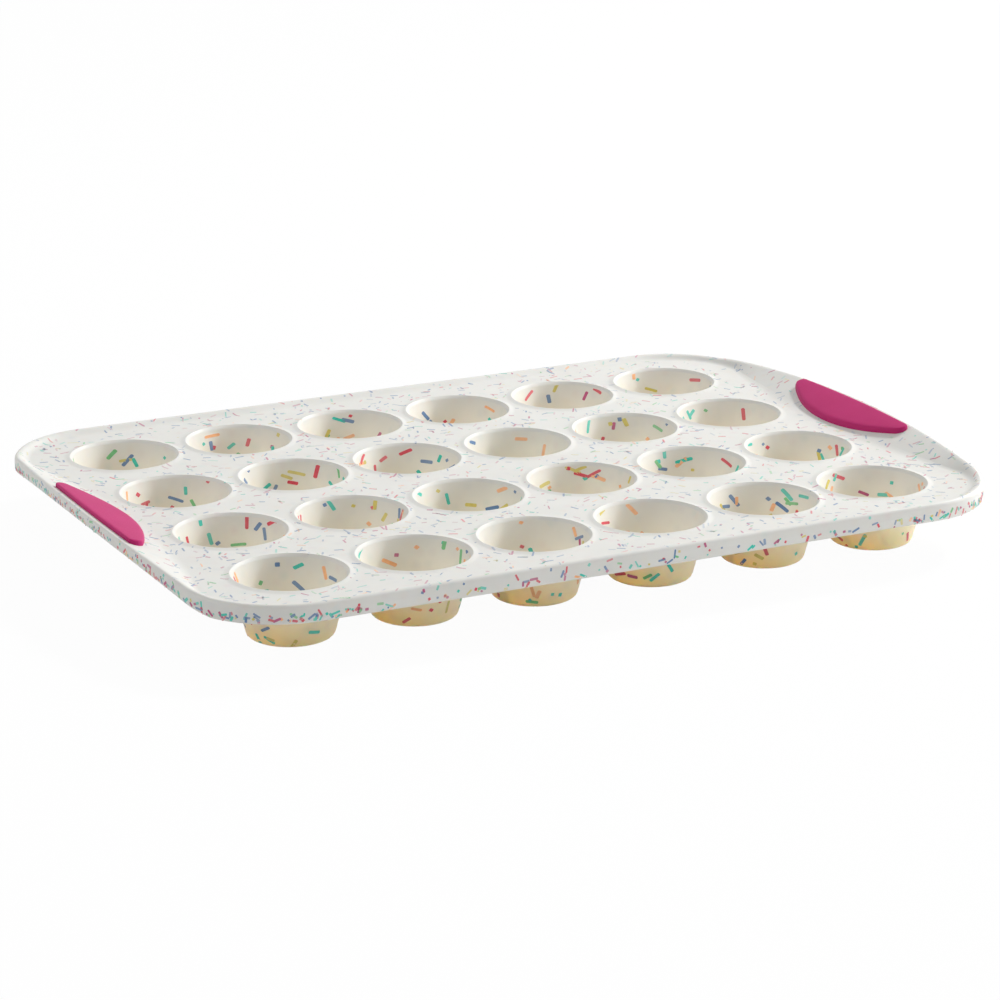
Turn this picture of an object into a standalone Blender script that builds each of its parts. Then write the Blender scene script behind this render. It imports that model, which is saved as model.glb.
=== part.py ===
"""A silicone mini muffin pan: round cups under a flat deck, with a raised handle at each end.

The real pan is one silicone moulding round a steel wire, with two bonded grips. Here the moulding
is divided along its own features: the deck with the lips of the mouths, the cups that hang under
it, and the rim in two halves that meet at the moulding line and hold the wire between them.
Lengths are in metres. The pan stands on its cups at z = 0, with its length along X.
"""
import math

import bmesh
import bpy

MM = 0.001

# Seam between neighbouring solids
SEAM = 0.3 * MM

# Cups: how many there are, and the shape of one
CUP_COLUMNS = 6
CUP_ROWS = 4
CUP_DEPTH = 24.2 * MM
CUP_WALL = 1.25 * MM
CUP_BOTTOM_RADIUS = 17.05 * MM
CUP_BOTTOM_ROUND = 2.6 * MM
CUP_TAPER = math.radians(14.8)

# Lip of each mouth: a low bead that rounds over into the cup
LIP_RISE = 0.4 * MM
LIP_WIDTH = 2.5 * MM
LIP_ROUND = 0.87 * MM
LIP_DROP = 1.2 * MM

# Flat deck left between one lip and the next, and between the outer lips and the rim
COLUMN_GAP = 1.9 * MM
ROW_GAP = 7.7 * MM
SIDE_GAP = 9.75 * MM
END_GAP = 1.45 * MM

# Deck and rim: the rim stands over the deck as a bead, and hangs under it as a band
DECK_THICKNESS = 2.0 * MM
CORNER_RADIUS = 33.0 * MM
END_RADIUS = 590.0 * MM
RIM_WIDTH = 7.0 * MM
RIM_HEIGHT = 6.9 * MM
RIM_ROUND = 1.2 * MM
BEAD_RISE = 1.6 * MM
BEAD_CROWN = 2.0 * MM
BEAD_FOOT = 3.8 * MM
BAND_WIDTH = 6.0 * MM

# Handles: the deck bends up along a crease and rises to the end of the pan
HANDLE_WIDTH = 24.3 * MM
HANDLE_RISE = 6.6 * MM
HANDLE_MARGIN = 19.5 * MM
HANDLE_RIM_HEIGHT = 4.2 * MM
HANDLE_EASE = 1.15

# Steel wire inside the rim
WIRE_RADIUS = 1.0 * MM

# Grips: a pad on each handle, straight along the outside and bowed towards the cups
GRIP_HALF_LENGTH = 43.0 * MM
GRIP_SETBACK = 3.2 * MM
GRIP_INSET = 2.6 * MM
GRIP_TIP_WIDTH = 6.4 * MM
GRIP_HEIGHT = 1.9 * MM
GRIP_EDGE = 0.6 * MM

# Facets
CIRCLE_STEPS = 20
ROUND_STEPS = 2
INNER_ROUND_STEPS = 1
END_STEPS = 10
CORNER_STEPS = 6
GROOVE_STEPS = 3
GRIP_STEPS = 8
TIP_STEPS = 3
FIRST_POINT_ANGLE = math.radians(45.0)
TIP_END_ANGLE = math.radians(80.0)
SMOOTH_ANGLE = math.radians(32.0)

SILICONE_WHITE = (0.79, 0.775, 0.735, 1.0)
SILICONE_CUP = (0.73, 0.62, 0.47, 1.0)
SILICONE_GRIP = (0.53, 0.055, 0.20, 1.0)
STEEL = (0.55, 0.55, 0.56, 1.0)


def wall_radius(height):
    """Outer radius of a cup's tapered wall at a height over the ground."""
    round_top = CUP_BOTTOM_ROUND * (1.0 - math.sin(CUP_TAPER))
    return CUP_BOTTOM_RADIUS + math.tan(CUP_TAPER) * (height - round_top)


def inner_radius(height):
    return wall_radius(height) - CUP_WALL / math.cos(CUP_TAPER)


# Heights and plan sizes that follow from the ones above
DECK_TOP = CUP_DEPTH
DECK_UNDER = DECK_TOP - DECK_THICKNESS
CUP_TOP = DECK_UNDER - SEAM
LIP_TOP = DECK_TOP + LIP_RISE
LIP_RADIUS = inner_radius(LIP_TOP - LIP_DROP) + LIP_ROUND
LIP_FOOT = LIP_RADIUS + LIP_WIDTH
COLUMN_PITCH = 2 * LIP_FOOT + COLUMN_GAP
ROW_PITCH = 2 * LIP_FOOT + ROW_GAP
CREASE_X = (CUP_COLUMNS - 1) / 2 * COLUMN_PITCH + LIP_FOOT + END_GAP
HALF_LENGTH = CREASE_X + HANDLE_WIDTH
HALF_WIDTH = (CUP_ROWS - 1) / 2 * ROW_PITCH + LIP_FOOT + SIDE_GAP + RIM_WIDTH
HANDLE_HALF_SPAN = HALF_WIDTH - HANDLE_MARGIN
END_CENTRE_X = HALF_LENGTH - END_RADIUS
CORNER_Y = HALF_WIDTH - CORNER_RADIUS
END_ANGLE = math.asin(CORNER_Y / (END_RADIUS - CORNER_RADIUS))
CORNER_X = END_CENTRE_X + (END_RADIUS - CORNER_RADIUS) * math.cos(END_ANGLE)
INNER_CORNER_RADIUS = CORNER_RADIUS - RIM_WIDTH
WIRE_INSET = BAND_WIDTH / 2
GROOVE_RADIUS = WIRE_RADIUS + SEAM


def clear_scene():
    for item in list(bpy.data.objects):
        bpy.data.objects.remove(item, do_unlink=True)


def material(name, colour, roughness, metallic=0.0):
    made = bpy.data.materials.new(name)
    made.use_nodes = True
    shader = made.node_tree.nodes["Principled BSDF"]
    shader.inputs["Base Color"].default_value = colour
    shader.inputs["Roughness"].default_value = roughness
    shader.inputs["Metallic"].default_value = metallic
    made.diffuse_color = colour
    return made


def finish_mesh(shape, name, surface):
    """Turn a closed bmesh into a mesh with outward faces, smooth but for its sharp edges."""
    bmesh.ops.recalc_face_normals(shape, faces=shape.faces[:])
    mesh = bpy.data.meshes.new(name)
    shape.to_mesh(mesh)
    shape.free()
    mesh.materials.append(surface)
    mesh.shade_smooth()
    mesh.set_sharp_from_angle(angle=SMOOTH_ANGLE)
    return mesh


def place(name, mesh, location=(0.0, 0.0, 0.0)):
    item = bpy.data.objects.new(name, mesh)
    item.location = location
    bpy.context.scene.collection.objects.link(item)
    return item


def add_loop(shape, points):
    return [shape.verts.new(point) for point in points]


def bridge(shape, first, second):
    """Join two closed loops of as many points with a band of quads."""
    count = len(first)
    for step in range(count):
        after = (step + 1) % count
        shape.faces.new((first[step], first[after], second[after], second[step]))


# The outline of the pan: stations all the way round, each with an outer and an inner point


def end_station(share, side):
    """A station on an end, from its middle at share 0 to a corner at share 1 or -1.

    The outer point runs along the end's arc. The inner one runs along the crease, which bows
    towards the cups: its place falls off from the corner with the square of the share.
    """
    angle = END_ANGLE * share
    meet_x = CORNER_X + INNER_CORNER_RADIUS * math.cos(END_ANGLE)
    meet_y = CORNER_Y + INNER_CORNER_RADIUS * math.sin(END_ANGLE)
    outer = (side * (END_CENTRE_X + END_RADIUS * math.cos(angle)), END_RADIUS * math.sin(angle))
    inner = (side * (CREASE_X + (meet_x - CREASE_X) * share * share), meet_y * share)
    return outer, inner


def corner_station(angle, x_side, y_side):
    """A station on a corner, where both points lie on arcs about the same centre."""
    ends = []
    for radius in (CORNER_RADIUS, INNER_CORNER_RADIUS):
        x = CORNER_X + radius * math.cos(angle)
        y = CORNER_Y + radius * math.sin(angle)
        ends.append((x_side * x, y_side * y))
    return tuple(ends)


def outline_stations():
    """Every station in order, anticlockwise from the front corner of the right end."""
    shares = [2.0 * step / END_STEPS - 1.0 for step in range(END_STEPS + 1)]
    sweep = math.pi / 2 - END_ANGLE
    angles = [END_ANGLE + sweep * step / CORNER_STEPS for step in range(1, CORNER_STEPS + 1)]
    stations = [end_station(share, 1.0) for share in shares]
    stations += [corner_station(angle, 1.0, 1.0) for angle in angles]
    stations += [corner_station(angle, -1.0, 1.0) for angle in reversed(angles)]
    stations += [end_station(share, -1.0) for share in reversed(shares)]
    stations += [corner_station(angle, -1.0, -1.0) for angle in angles]
    stations += [corner_station(angle, 1.0, -1.0) for angle in reversed(angles)]
    return stations


def station_width(station):
    return math.dist(*station)


def handle_lift(station):
    """The share of the handle's full rise at a station: 1 at the middle of an end, 0 at its foot."""
    outer, _ = station
    from_middle = min(abs(outer[1]) / HANDLE_HALF_SPAN, 1.0)
    return (1.0 - from_middle * from_middle) ** HANDLE_EASE


def station_point(station, inset, height):
    """A point at a distance in from the outline, at a height over the deck or handle surface."""
    outer, inner = station
    along = inset / station_width(station)
    x = outer[0] + (inner[0] - outer[0]) * along
    y = outer[1] + (inner[1] - outer[1]) * along
    slope = HANDLE_RISE * handle_lift(station) * (1.0 - along)
    return x, y, DECK_TOP + slope + height


def bead_height(station, inset=0.0):
    """How far the rim's bead stands over the surface: it melts into the handle's edge."""
    crown = BEAD_RISE * (1.0 - handle_lift(station))
    fall = (inset - BEAD_CROWN) / (BEAD_FOOT - BEAD_CROWN)
    return crown * (1.0 - min(max(fall, 0.0), 1.0))


def rim_height(station):
    """Height of the outer band, which thins towards the middle of each handle."""
    return RIM_HEIGHT - (RIM_HEIGHT - HANDLE_RIM_HEIGHT) * handle_lift(station)


def parting_height(station):
    """The moulding line, halfway up the outer band."""
    return bead_height(station) - rim_height(station) / 2


# Profiles across the rim, as pairs of inset and height


def outer_round(edge, turn):
    """Quarter round between the outer face and a top (turn 1) or bottom (turn -1) at edge."""
    points = []
    for step in range(ROUND_STEPS + 1):
        angle = math.pi / 2 * step / ROUND_STEPS
        inset = RIM_ROUND * (1.0 - math.sin(angle))
        points.append((inset, edge - turn * RIM_ROUND * (1.0 - math.cos(angle))))
    return points


def groove(parting, face, turn):
    """Half round hollow for the wire, from its outer edge to its inner edge."""
    points = [(WIRE_INSET - GROOVE_RADIUS, face)]
    for step in range(1, GROOVE_STEPS):
        angle = math.pi * step / GROOVE_STEPS
        inset = WIRE_INSET - GROOVE_RADIUS * math.cos(angle)
        points.append((inset, parting + turn * GROOVE_RADIUS * math.sin(angle)))
    return points + [(WIRE_INSET + GROOVE_RADIUS, face)]


def upper_rim_profile(station):
    """The handle and the upper half of the rim, down to the moulding line."""
    width = station_width(station)
    parting = parting_height(station)
    face = parting + SEAM / 2
    crown = bead_height(station)
    points = [(width, 0.0), (BEAD_FOOT, 0.0), (BEAD_CROWN, crown)]
    points += outer_round(crown, 1.0)
    points += [(0.0, face)]
    points += groove(parting, face, 1.0)
    return points + [(BAND_WIDTH, face), (BAND_WIDTH, -DECK_THICKNESS), (width, -DECK_THICKNESS)]


def lower_rim_profile(station):
    """The lower half of the rim, from the moulding line down."""
    parting = parting_height(station)
    face = parting - SEAM / 2
    bottom = bead_height(station) - rim_height(station)
    inner = BAND_WIDTH - SEAM
    points = [(inner, face), (inner, bottom)]
    points += outer_round(bottom, -1.0)
    points += [(0.0, face)]
    return points + groove(parting, face, -1.0)


def wire_profile(station):
    parting = parting_height(station)
    points = []
    for step in range(2 * GROOVE_STEPS):
        angle = math.pi * step / GROOVE_STEPS
        inset = WIRE_INSET - WIRE_RADIUS * math.cos(angle)
        points.append((inset, parting + WIRE_RADIUS * math.sin(angle)))
    return points


def swept_rim(name, profile, surface):
    """Carry a profile all the way round the outline and close it on itself."""
    shape = bmesh.new()
    loops = []
    for station in outline_stations():
        points = [station_point(station, inset, height) for inset, height in profile(station)]
        loops.append(add_loop(shape, points))
    for number, loop in enumerate(loops):
        bridge(shape, loop, loops[(number + 1) % len(loops)])
    return place(name, finish_mesh(shape, name, surface))


# Cups and mouths


def circle(shape, radius, height, centre=(0.0, 0.0)):
    points = []
    for step in range(CIRCLE_STEPS):
        angle = FIRST_POINT_ANGLE + 2.0 * math.pi * step / CIRCLE_STEPS
        x = centre[0] + radius * math.cos(angle)
        y = centre[1] + radius * math.sin(angle)
        points.append((x, y, height))
    return add_loop(shape, points)


def bottom_round(radius, steps):
    """Radius and height along the round between a cup's floor and its wall."""
    centre = CUP_BOTTOM_RADIUS - CUP_BOTTOM_ROUND * math.cos(CUP_TAPER)
    points = []
    for step in range(steps + 1):
        angle = math.pi / 2 - (math.pi / 2 - CUP_TAPER) * step / steps
        height = CUP_BOTTOM_ROUND - radius * math.sin(angle)
        points.append((centre + radius * math.cos(angle), height))
    return points


def cup_mesh(surface):
    """One cup as a turned shell: a tapered wall, a rounded foot and a flat floor."""
    outside = bottom_round(CUP_BOTTOM_ROUND, ROUND_STEPS)
    inside = bottom_round(CUP_BOTTOM_ROUND - CUP_WALL, INNER_ROUND_STEPS)
    outside.append((wall_radius(CUP_TOP), CUP_TOP))
    inside.append((inner_radius(CUP_TOP), CUP_TOP))
    shape = bmesh.new()
    rims = []
    for profile in (outside, inside):
        loops = [circle(shape, radius, height) for radius, height in profile]
        shape.faces.new(loops[0])
        for lower, upper in zip(loops, loops[1:]):
            bridge(shape, lower, upper)
        rims.append(loops[-1])
    bridge(shape, *rims)
    return finish_mesh(shape, "cup", surface)


def cup_centres():
    """Row and column numbers, counted from the front left cup, with the cup's place in plan."""
    for row in range(CUP_ROWS):
        for column in range(CUP_COLUMNS):
            x = (column - (CUP_COLUMNS - 1) / 2) * COLUMN_PITCH
            y = (row - (CUP_ROWS - 1) / 2) * ROW_PITCH
            yield row + 1, column + 1, (x, y)


def mouth_profile():
    """Radius and height from the foot of the lip, over its crest and down through the deck."""
    points = [(LIP_FOOT, DECK_TOP)]
    for step in range(ROUND_STEPS + 1):
        angle = math.pi / 2 * step / ROUND_STEPS
        inward = LIP_ROUND * (1.0 - math.cos(angle))
        points.append((LIP_RADIUS - inward, LIP_TOP - LIP_DROP * math.sin(angle)))
    return points + [(inner_radius(DECK_UNDER), DECK_UNDER)]


def fill_between(shape, loops):
    """Fill a flat face that has an outer edge and holes."""
    edges = []
    for loop in loops:
        for step, vertex in enumerate(loop):
            after = loop[(step + 1) % len(loop)]
            edges.append(shape.edges.get((vertex, after)) or shape.edges.new((vertex, after)))
    bmesh.ops.triangle_fill(shape, use_beauty=True, edges=edges)


def deck(surface):
    """The flat plate inside the rim, with the lip and the hole of every mouth."""
    shape = bmesh.new()
    top_loops = []
    under_loops = []
    for _, _, centre in cup_centres():
        loops = [circle(shape, radius, height, centre) for radius, height in mouth_profile()]
        for above, below in zip(loops, loops[1:]):
            bridge(shape, above, below)
        top_loops.append(loops[0])
        under_loops.append(loops[-1])
    outline = []
    for station in outline_stations():
        x, y, _ = station_point(station, station_width(station) + SEAM, 0.0)
        outline.append((x, y))
    top_loops.append(add_loop(shape, [(x, y, DECK_TOP) for x, y in outline]))
    under_loops.append(add_loop(shape, [(x, y, DECK_UNDER) for x, y in outline]))
    bridge(shape, top_loops[-1], under_loops[-1])
    fill_between(shape, top_loops)
    fill_between(shape, under_loops)
    return place("deck", finish_mesh(shape, "deck", surface))


# Grips


def grip_slices():
    """Places along a pad from its middle, with how far both its sides draw in there.

    The sides draw in only at the tips, which end in half rounds.
    """
    tip_radius = GRIP_TIP_WIDTH / 2
    straight = GRIP_HALF_LENGTH - tip_radius
    middle = [(straight * (2.0 * step / GRIP_STEPS - 1.0), 0.0) for step in range(GRIP_STEPS + 1)]
    tip = []
    for step in range(1, TIP_STEPS + 1):
        angle = TIP_END_ANGLE * step / TIP_STEPS
        place_along = straight + tip_radius * math.sin(angle)
        tip.append((place_along, tip_radius * (1.0 - math.cos(angle))))
    return [(-place_along, drawn_in) for place_along, drawn_in in reversed(tip)] + middle + tip


def grip_section(place_along, drawn_in, side):
    """A slice of a pad across the handle, standing on the handle's own surface.

    The pad is widest in the middle, where it fills the handle but for its margins, and narrows
    to the width of its tips with the square of the distance.
    """
    station = end_station(math.asin(place_along / END_RADIUS) / END_ANGLE, side)
    full_width = HANDLE_WIDTH - GRIP_SETBACK - GRIP_INSET
    from_middle = place_along / GRIP_HALF_LENGTH
    width = full_width - (full_width - GRIP_TIP_WIDTH) * from_middle * from_middle
    outside = GRIP_SETBACK + drawn_in
    inside = GRIP_SETBACK + width - drawn_in
    bevel = min(GRIP_EDGE, (inside - outside) / 3)
    foot = bead_height(station, outside) + SEAM
    profile = [
        (outside, foot),
        (outside, GRIP_HEIGHT - bevel),
        (outside + bevel, GRIP_HEIGHT),
        (inside - bevel, GRIP_HEIGHT),
        (inside, GRIP_HEIGHT - bevel),
        (inside, SEAM),
    ]
    return [station_point(station, inset, height) for inset, height in profile]


def grip(name, side, surface):
    shape = bmesh.new()
    loops = [add_loop(shape, grip_section(*piece, side)) for piece in grip_slices()]
    for loop, following in zip(loops, loops[1:]):
        bridge(shape, loop, following)
    shape.faces.new(loops[0])
    shape.faces.new(loops[-1])
    return place(name, finish_mesh(shape, name, surface))


def main():
    clear_scene()
    deck(material("deck_silicone", SILICONE_WHITE, 0.45))
    swept_rim("rim_upper", upper_rim_profile, material("rim_upper_silicone", SILICONE_WHITE, 0.45))
    swept_rim("rim_lower", lower_rim_profile, material("rim_lower_silicone", SILICONE_WHITE, 0.45))
    swept_rim("rim_wire", wire_profile, material("rim_wire_steel", STEEL, 0.35, 1.0))
    grip("grip_left", -1.0, material("grip_left_silicone", SILICONE_GRIP, 0.5))
    grip("grip_right", 1.0, material("grip_right_silicone", SILICONE_GRIP, 0.5))
    cup = cup_mesh(material("cup_silicone", SILICONE_CUP, 0.45))
    for row, column, (x, y) in cup_centres():
        place(f"cup_row{row}_col{column}", cup, (x, y, 0.0))


main()
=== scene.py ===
# %% [markdown]
# # A silicone mini muffin pan
# The pan is one moulding of cream-white silicone with small coloured rods moulded in, like cake
# sprinkles. It has a flat deck, round tapered cups that hang under it, a rim with a steel wire
# inside, and a raised handle with a magenta grip at each end. Each step below works out one of its
# surfaces from a formula and gives it a finish.

# %% Load the frame
import math

import bmesh
import bpy
import numpy as np
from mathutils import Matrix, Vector


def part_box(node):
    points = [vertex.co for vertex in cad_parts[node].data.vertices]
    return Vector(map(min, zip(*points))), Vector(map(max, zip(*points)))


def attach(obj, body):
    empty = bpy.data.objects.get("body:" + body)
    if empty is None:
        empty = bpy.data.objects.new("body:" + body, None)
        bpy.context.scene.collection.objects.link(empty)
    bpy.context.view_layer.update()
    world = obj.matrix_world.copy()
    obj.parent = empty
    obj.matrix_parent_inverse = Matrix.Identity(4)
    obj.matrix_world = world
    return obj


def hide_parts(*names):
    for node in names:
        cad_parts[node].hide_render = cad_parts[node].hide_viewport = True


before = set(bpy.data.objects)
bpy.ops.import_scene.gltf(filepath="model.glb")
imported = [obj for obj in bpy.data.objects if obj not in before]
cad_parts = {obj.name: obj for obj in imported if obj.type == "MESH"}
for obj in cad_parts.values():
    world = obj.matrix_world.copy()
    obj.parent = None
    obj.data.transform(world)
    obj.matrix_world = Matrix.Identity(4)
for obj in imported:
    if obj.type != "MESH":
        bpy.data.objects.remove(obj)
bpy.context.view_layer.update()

MM = 0.001
print("pieces in the frame:", len(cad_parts))

# %% [markdown]
# ## Sizes
# The main sizes come from the frame, so that every surface lies where the solid model has it. The
# smaller ones, such as the round of a lip, are named here. Lengths are in metres.

# %% Sizes
# The solid deck's highest point is the lip round its mouths
SOLID_LIP_RISE = 0.4 * MM
RIM_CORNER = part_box("rim_upper")[1]
DECK_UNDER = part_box("deck")[0].z
DECK_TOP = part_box("deck")[1].z - SOLID_LIP_RISE
CUP_NAMES = sorted(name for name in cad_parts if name.startswith("cup_"))
CUP_CENTRES = np.array([(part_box(name)[0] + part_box(name)[1])[:2] for name in CUP_NAMES]) / 2
COLUMN_X = np.unique(np.round(CUP_CENTRES[:, 0], 6))
ROW_Y = np.unique(np.round(CUP_CENTRES[:, 1], 6))

# How far the visible skin lies inside the solids
SKIN = 0.04 * MM
HALF_LENGTH = RIM_CORNER.x - SKIN
HALF_WIDTH = RIM_CORNER.y - SKIN

# The lip round a mouth, from the wall over its crest to its foot on the deck
LIP_EASE = 1.1 * MM
LIP_EASE_ROUND = 1.5 * MM
LIP_RISE = 0.5 * MM
LIP_RADIUS = 22.5 * MM
LIP_CREST = 0.25 * MM
LIP_INNER_ROUND = 0.25 * MM
LIP_OUTER_ROUND = 0.5 * MM
LIP_FOOT = 24.65 * MM
LIP_SPREAD = 0.85 * MM
LIP_FOOT_ROUND = 6.0 * MM
LIP_TOP = DECK_TOP + LIP_RISE

CUP_TAPER = math.radians(14.8)
CUP_WALL = 1.25 * MM
CUP_BOTTOM_RADIUS = 17.05 * MM
CUP_BOTTOM_ROUND = 2.6 * MM
CUP_FILLET = 1.4 * MM

CORNER_RADIUS = 40.5 * MM
END_RADIUS = 780.0 * MM

# The rim, from the bead's foot on the deck over its crown and down the band to the underside
RIM_WIDTH = 7.0 * MM
RIM_HEIGHT = 7.6 * MM
RIM_DRAFT = 0.25 * MM
BEAD_TAIL = 1.3 * MM
BEAD_FOOT = 5.2 * MM
BEAD_FOOT_ROUND = 4.0 * MM
BEAD_CROWN = 2.6 * MM
BEAD_CROWN_ROUND = 2.8 * MM
BEAD_RISE = 1.95 * MM
BAND_WIDTH = 6.0 * MM
BAND_TOP_ROUND = 1.5 * MM
PARTING_ROUND = 0.4 * MM
BAND_LOWER_ROUND = 1.2 * MM
BAND_UNDER_ROUND = 0.5 * MM
BAND_TAIL = 1.0 * MM

# A handle rises from its crease to the outline, most at the middle of the end
HANDLE_WIDTH = 24.3 * MM
HANDLE_RISE = 7.0 * MM
HANDLE_MARGIN = 22.0 * MM
HANDLE_RIM_HEIGHT = 5.0 * MM
HANDLE_EASE = 0.85
HANDLE_SOFT_SHARE = 0.25
print("pan", round(2 * HALF_LENGTH / MM, 1), "x", round(2 * HALF_WIDTH / MM, 1), "mm,",
      len(COLUMN_X), "columns of", len(ROW_Y))

# %% [markdown]
# ## Helpers for surfaces
# A silicone moulding has no sharp edges, so its profiles are drawn as corner points and each
# corner is then rounded to its own radius. A surface is a grid of points, and a mesh is made from
# several grids whose shared edges are merged, which closes the seams.


# %% Rounded profiles
ROUND_STEPS = 4


def unit(vectors):
    """The same directions with length 1."""
    return vectors / np.linalg.norm(vectors, axis=-1, keepdims=True)


def rounded(corners, radii):
    """Round the inner corners of a path: each becomes an arc that touches both its sides.

    With h half the angle at the corner, the arc starts and ends radius / tan(h) away from it. Its
    points are the start, the corner and the end, weighed by (1 - s)^2, 2 s (1 - s) sin(h) and s^2,
    which is an exact arc. The arrays may hold many paths at once.
    """
    corners = np.asarray(corners, float)
    points = [corners[..., 0, :]]
    for place, radius in enumerate(radii, start=1):
        corner = corners[..., place, :]
        before = unit(corners[..., place - 1, :] - corner)
        after = unit(corners[..., place + 1, :] - corner)
        cosine = np.clip((before * after).sum(-1, keepdims=True), -1.0, 1.0)
        half = np.arccos(cosine) / 2
        setback = radius * np.cos(half) / np.sin(half)
        for share in np.linspace(0.0, 1.0, ROUND_STEPS + 1):
            weights = (1 - share) ** 2, 2 * share * (1 - share) * np.sin(half), share ** 2
            shift = (weights[0] * before + weights[2] * after) * setback
            points.append(corner + shift / sum(weights))
    points.append(corners[..., -1, :])
    return np.stack(points, axis=-2)


# %% Meshes from grids
SAME_POINT = 0.001 * MM
SHARP_ANGLE = math.radians(50)


def grid_faces(rows, columns, start=0):
    """Corner numbers of the quads of a grid whose last column joins its first."""
    row = np.arange(rows - 1)[:, None]
    column = np.arange(columns)[None, :]
    after = (column + 1) % columns
    corners = (row * columns + column, row * columns + after,
               (row + 1) * columns + after, (row + 1) * columns + column)
    return np.stack(np.broadcast_arrays(*corners), axis=-1).reshape(-1, 4) + start


def mesh_piece(name, points, faces, values=None, merge=SAME_POINT):
    """A closed mesh from points and quads: doubles are merged and the faces turned outwards.

    The values are kept on the points as attributes, by name, for the finish to read.
    """
    mesh = bpy.data.meshes.new(name)
    mesh.from_pydata(points.reshape(-1, 3).tolist(), [], faces.tolist())
    for attribute, value in (values or {}).items():
        layer = mesh.attributes.new(attribute, "FLOAT", "POINT")
        layer.data.foreach_set("value", value.ravel().astype(np.float32))
    shape = bmesh.new()
    shape.from_mesh(mesh)
    bmesh.ops.remove_doubles(shape, verts=shape.verts[:], dist=merge)
    bmesh.ops.recalc_face_normals(shape, faces=shape.faces[:])
    loose = sum(1 for edge in shape.edges if len(edge.link_faces) != 2)
    shape.to_mesh(mesh)
    shape.free()
    mesh.shade_smooth()
    mesh.set_sharp_from_angle(angle=SHARP_ANGLE)
    piece = bpy.data.objects.new(name, mesh)
    bpy.context.scene.collection.objects.link(piece)
    triangles = sum(len(face.vertices) - 2 for face in mesh.polygons)
    print(f"{name}: {triangles} triangles, {loose} edges that aren't shared by two faces")
    return piece


# %% [markdown]
# ## The profile of a cup
# A cup is turned, so it is one profile carried round a circle. The wall leans out by its taper,
# which lets the cake out. At the top it rolls over the lip, a low bead that runs out into the deck.
# Outside, the same wall runs from a soft fillet under the deck to the rounded foot.

# %% Profiles of a cup
def wall_radius(height):
    """Outer radius of the wall: the foot's radius plus the height over the foot times the taper."""
    round_top = CUP_BOTTOM_ROUND * (1.0 - math.sin(CUP_TAPER))
    return CUP_BOTTOM_RADIUS + math.tan(CUP_TAPER) * (height - round_top)


def inner_radius(height):
    """Inner radius of the wall: the outer one less the thickness, which is square to the slope."""
    return wall_radius(height) - CUP_WALL / math.cos(CUP_TAPER)


FLOOR_TOP = CUP_WALL + SKIN
EASE_START = LIP_TOP - LIP_EASE
inside_corners = [(0.0, FLOOR_TOP), (inner_radius(FLOOR_TOP), FLOOR_TOP),
                  (inner_radius(EASE_START), EASE_START), (LIP_RADIUS, LIP_TOP),
                  (LIP_RADIUS + LIP_CREST, LIP_TOP), (LIP_FOOT, DECK_TOP),
                  (LIP_FOOT + LIP_SPREAD, DECK_TOP)]
inside_radii = [CUP_BOTTOM_ROUND - CUP_WALL, LIP_EASE_ROUND, LIP_INNER_ROUND, LIP_OUTER_ROUND,
                LIP_FOOT_ROUND]
INSIDE = rounded(inside_corners, inside_radii)[:-1]
outside_corners = [(0.0, SKIN), (wall_radius(SKIN), SKIN),
                   (wall_radius(DECK_UNDER), DECK_UNDER), (LIP_FOOT, DECK_UNDER)]
OUTSIDE = rounded(outside_corners, [CUP_BOTTOM_ROUND, CUP_FILLET])
print("profile points inside", len(INSIDE), "outside", len(OUTSIDE))

# %% [markdown]
# ## The deck in cells
# The deck is cut into one cell for each cup. A cell is a grid of two parameters: the angle round
# the cup, and the distance out from its middle. The rings start as circles on the profile and end
# as the cell's rectangle, so that neighbours share their edges exactly.

# %% Cells
SIDE_STEPS = 20
AROUND = 4 * SIDE_STEPS
RING_SHARES = np.array([0.33, 0.66, 1.0])
OUTER_CELL_REACH = 25.6 * MM
OUTER_X = COLUMN_X[-1] + OUTER_CELL_REACH
OUTER_Y = ROW_Y[-1] + OUTER_CELL_REACH
edges_x = np.concatenate([[-OUTER_X], (COLUMN_X[1:] + COLUMN_X[:-1]) / 2, [OUTER_X]])
edges_y = np.concatenate([[-OUTER_Y], (ROW_Y[1:] + ROW_Y[:-1]) / 2, [OUTER_Y]])


def rectangle(low, high):
    """Points round a rectangle, evenly spaced on each side, from the right back corner on."""
    share = np.arange(SIDE_STEPS)[:, None] / SIDE_STEPS
    corners = np.array([(high[0], high[1]), (low[0], high[1]), (low[0], low[1]), (high[0], low[1])])
    sides = [corners[i] * (1 - share) + corners[(i + 1) % 4] * share for i in range(4)]
    return np.concatenate(sides)


def cell(profile, centre, low, high):
    """Grid of one cell: circles of the profile's radii, then rings that turn into the rectangle."""
    angle = math.pi / 4 + np.arange(AROUND) * 2 * math.pi / AROUND
    direction = np.stack([np.cos(angle), np.sin(angle)], axis=-1)
    circles = centre + profile[:, None, :1] * direction
    share = RING_SHARES[:, None, None]
    outer = circles[-1] * (1 - share) + rectangle(low, high) * share
    flat = np.concatenate([circles, outer])
    heights = np.concatenate([profile[:, 1], np.full(len(RING_SHARES), profile[-1, 1])])
    heights = np.broadcast_to(heights[:, None, None], flat.shape[:2] + (1,))
    return np.concatenate([flat, heights], axis=-1)


def cell_corners(centre):
    """Lowest and highest corner of the cell that a cup lies in."""
    column = np.searchsorted(edges_x, centre[0])
    row = np.searchsorted(edges_y, centre[1])
    return (edges_x[column - 1], edges_y[row - 1]), (edges_x[column], edges_y[row])


top_cells = np.stack([cell(INSIDE, c, *cell_corners(c)) for c in CUP_CENTRES])
under_cells = np.stack([cell(OUTSIDE, c, *cell_corners(c)) for c in CUP_CENTRES])
print("cells", top_cells.shape, under_cells.shape)

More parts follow.
